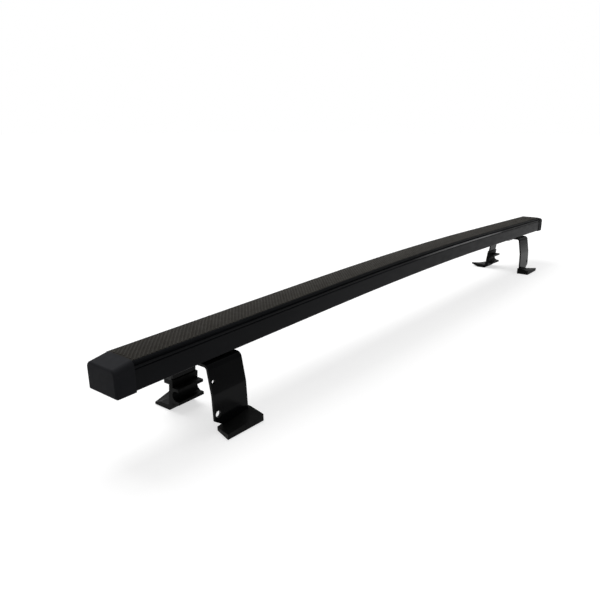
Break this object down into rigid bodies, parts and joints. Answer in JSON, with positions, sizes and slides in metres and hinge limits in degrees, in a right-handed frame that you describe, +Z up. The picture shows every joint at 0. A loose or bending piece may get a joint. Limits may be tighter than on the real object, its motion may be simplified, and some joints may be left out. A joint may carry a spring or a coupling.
{
  "type": "roof rack crossbar",
  "caption": "Bowed roof rack crossbar with a grained tread strip, capped ends and bolted bent strap legs on rubber shoes, for carrying loads on a vehicle roof.",
  "frame": {"origin": "on the ground that the shoes stand on, under the middle of the bounding box", "axes": "+X along the bar to its right-hand end, +Y to the rear, +Z up"},
  "size_m": [1.2012, 0.134, 0.1185],
  "materials": {
    "bar_coating": "satin black coating on an extruded tube",
    "tread_rubber": "grained matte dark grey",
    "cap_plastic": "fine-grained black",
    "leg_coating": "gloss black on bent steel strap",
    "shoe_rubber": "matte black",
    "plated_steel": "zinc plated"
  },
  "bodies": {
    "root": {"crossbar_tube": "bar_coating", "tread_strip": "tread_rubber", "end_cap_left": "cap_plastic", "end_cap_right": "cap_plastic", "front_leg_left": "leg_coating", "front_leg_right": "leg_coating", "rear_leg_left": "leg_coating", "rear_leg_right": "leg_coating", "front_shoe_left": "shoe_rubber", "front_shoe_right": "shoe_rubber", "rear_shoe_left": "shoe_rubber", "rear_shoe_right": "shoe_rubber", "nut_plate_left": "plated_steel", "nut_plate_right": "plated_steel", "leg_bolts_left": "plated_steel", "leg_bolts_right": "plated_steel", "washers_left": "plated_steel", "washers_right": "plated_steel", "lock_washers_left": "plated_steel", "lock_washers_right": "plated_steel"}
  },
  "joints": []
}
